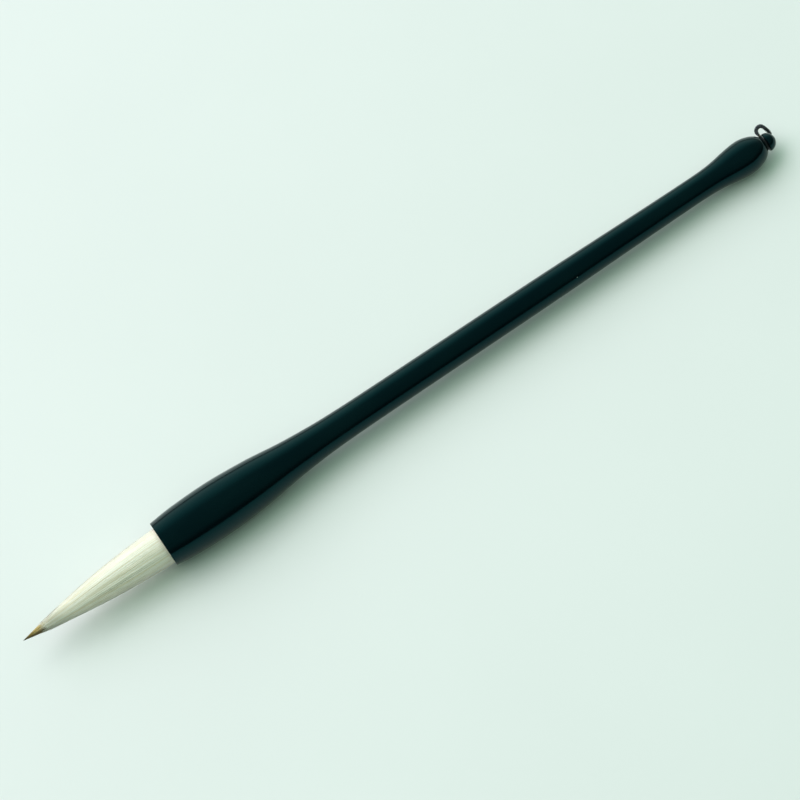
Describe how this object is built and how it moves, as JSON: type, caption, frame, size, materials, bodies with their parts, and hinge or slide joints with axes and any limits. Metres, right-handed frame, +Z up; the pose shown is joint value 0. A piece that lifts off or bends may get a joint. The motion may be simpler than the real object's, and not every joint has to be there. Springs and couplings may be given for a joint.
{
  "type": "calligraphy brush",
  "caption": "Ink brush with a white pointed hair tuft, a flared glossy dark handle, a drop-shaped tail, an end knob and a small hanging cord.",
  "frame": {"origin": "on the resting surface, under the middle of the brush's length and under its axis", "axes": "+X along the brush from the hair point to the knob, +Z up from the resting surface"},
  "size_m": [0.223, 0.0136, 0.0136],
  "materials": {
    "lacquer": "black-green lacquer over turned wood, glossy",
    "white_hair": "fine straight white animal hair, lightly sized",
    "brown_hair": "translucent amber-brown animal hair",
    "thread": "waxed linen thread",
    "rosin": "amber rosin cake",
    "cord": "black twisted cord with a grey sheen"
  },
  "bodies": {
    "brush": {"handle": "lacquer", "end_knob": "lacquer", "cover_hair": "white_hair", "lining_hair": "white_hair", "core_hair": "brown_hair", "core_binding": "thread", "cover_binding": "thread", "root_seal": "rosin"},
    "loop": {"hanging_loop": "cord"}
  },
  "joints": [
    {"name": "loop_turn", "type": "hinge", "parent": "brush", "child": "loop", "pos_m": [0.10795, 0, 0.00682], "axis": [1, 0, 0], "continuous": true}
  ]
}
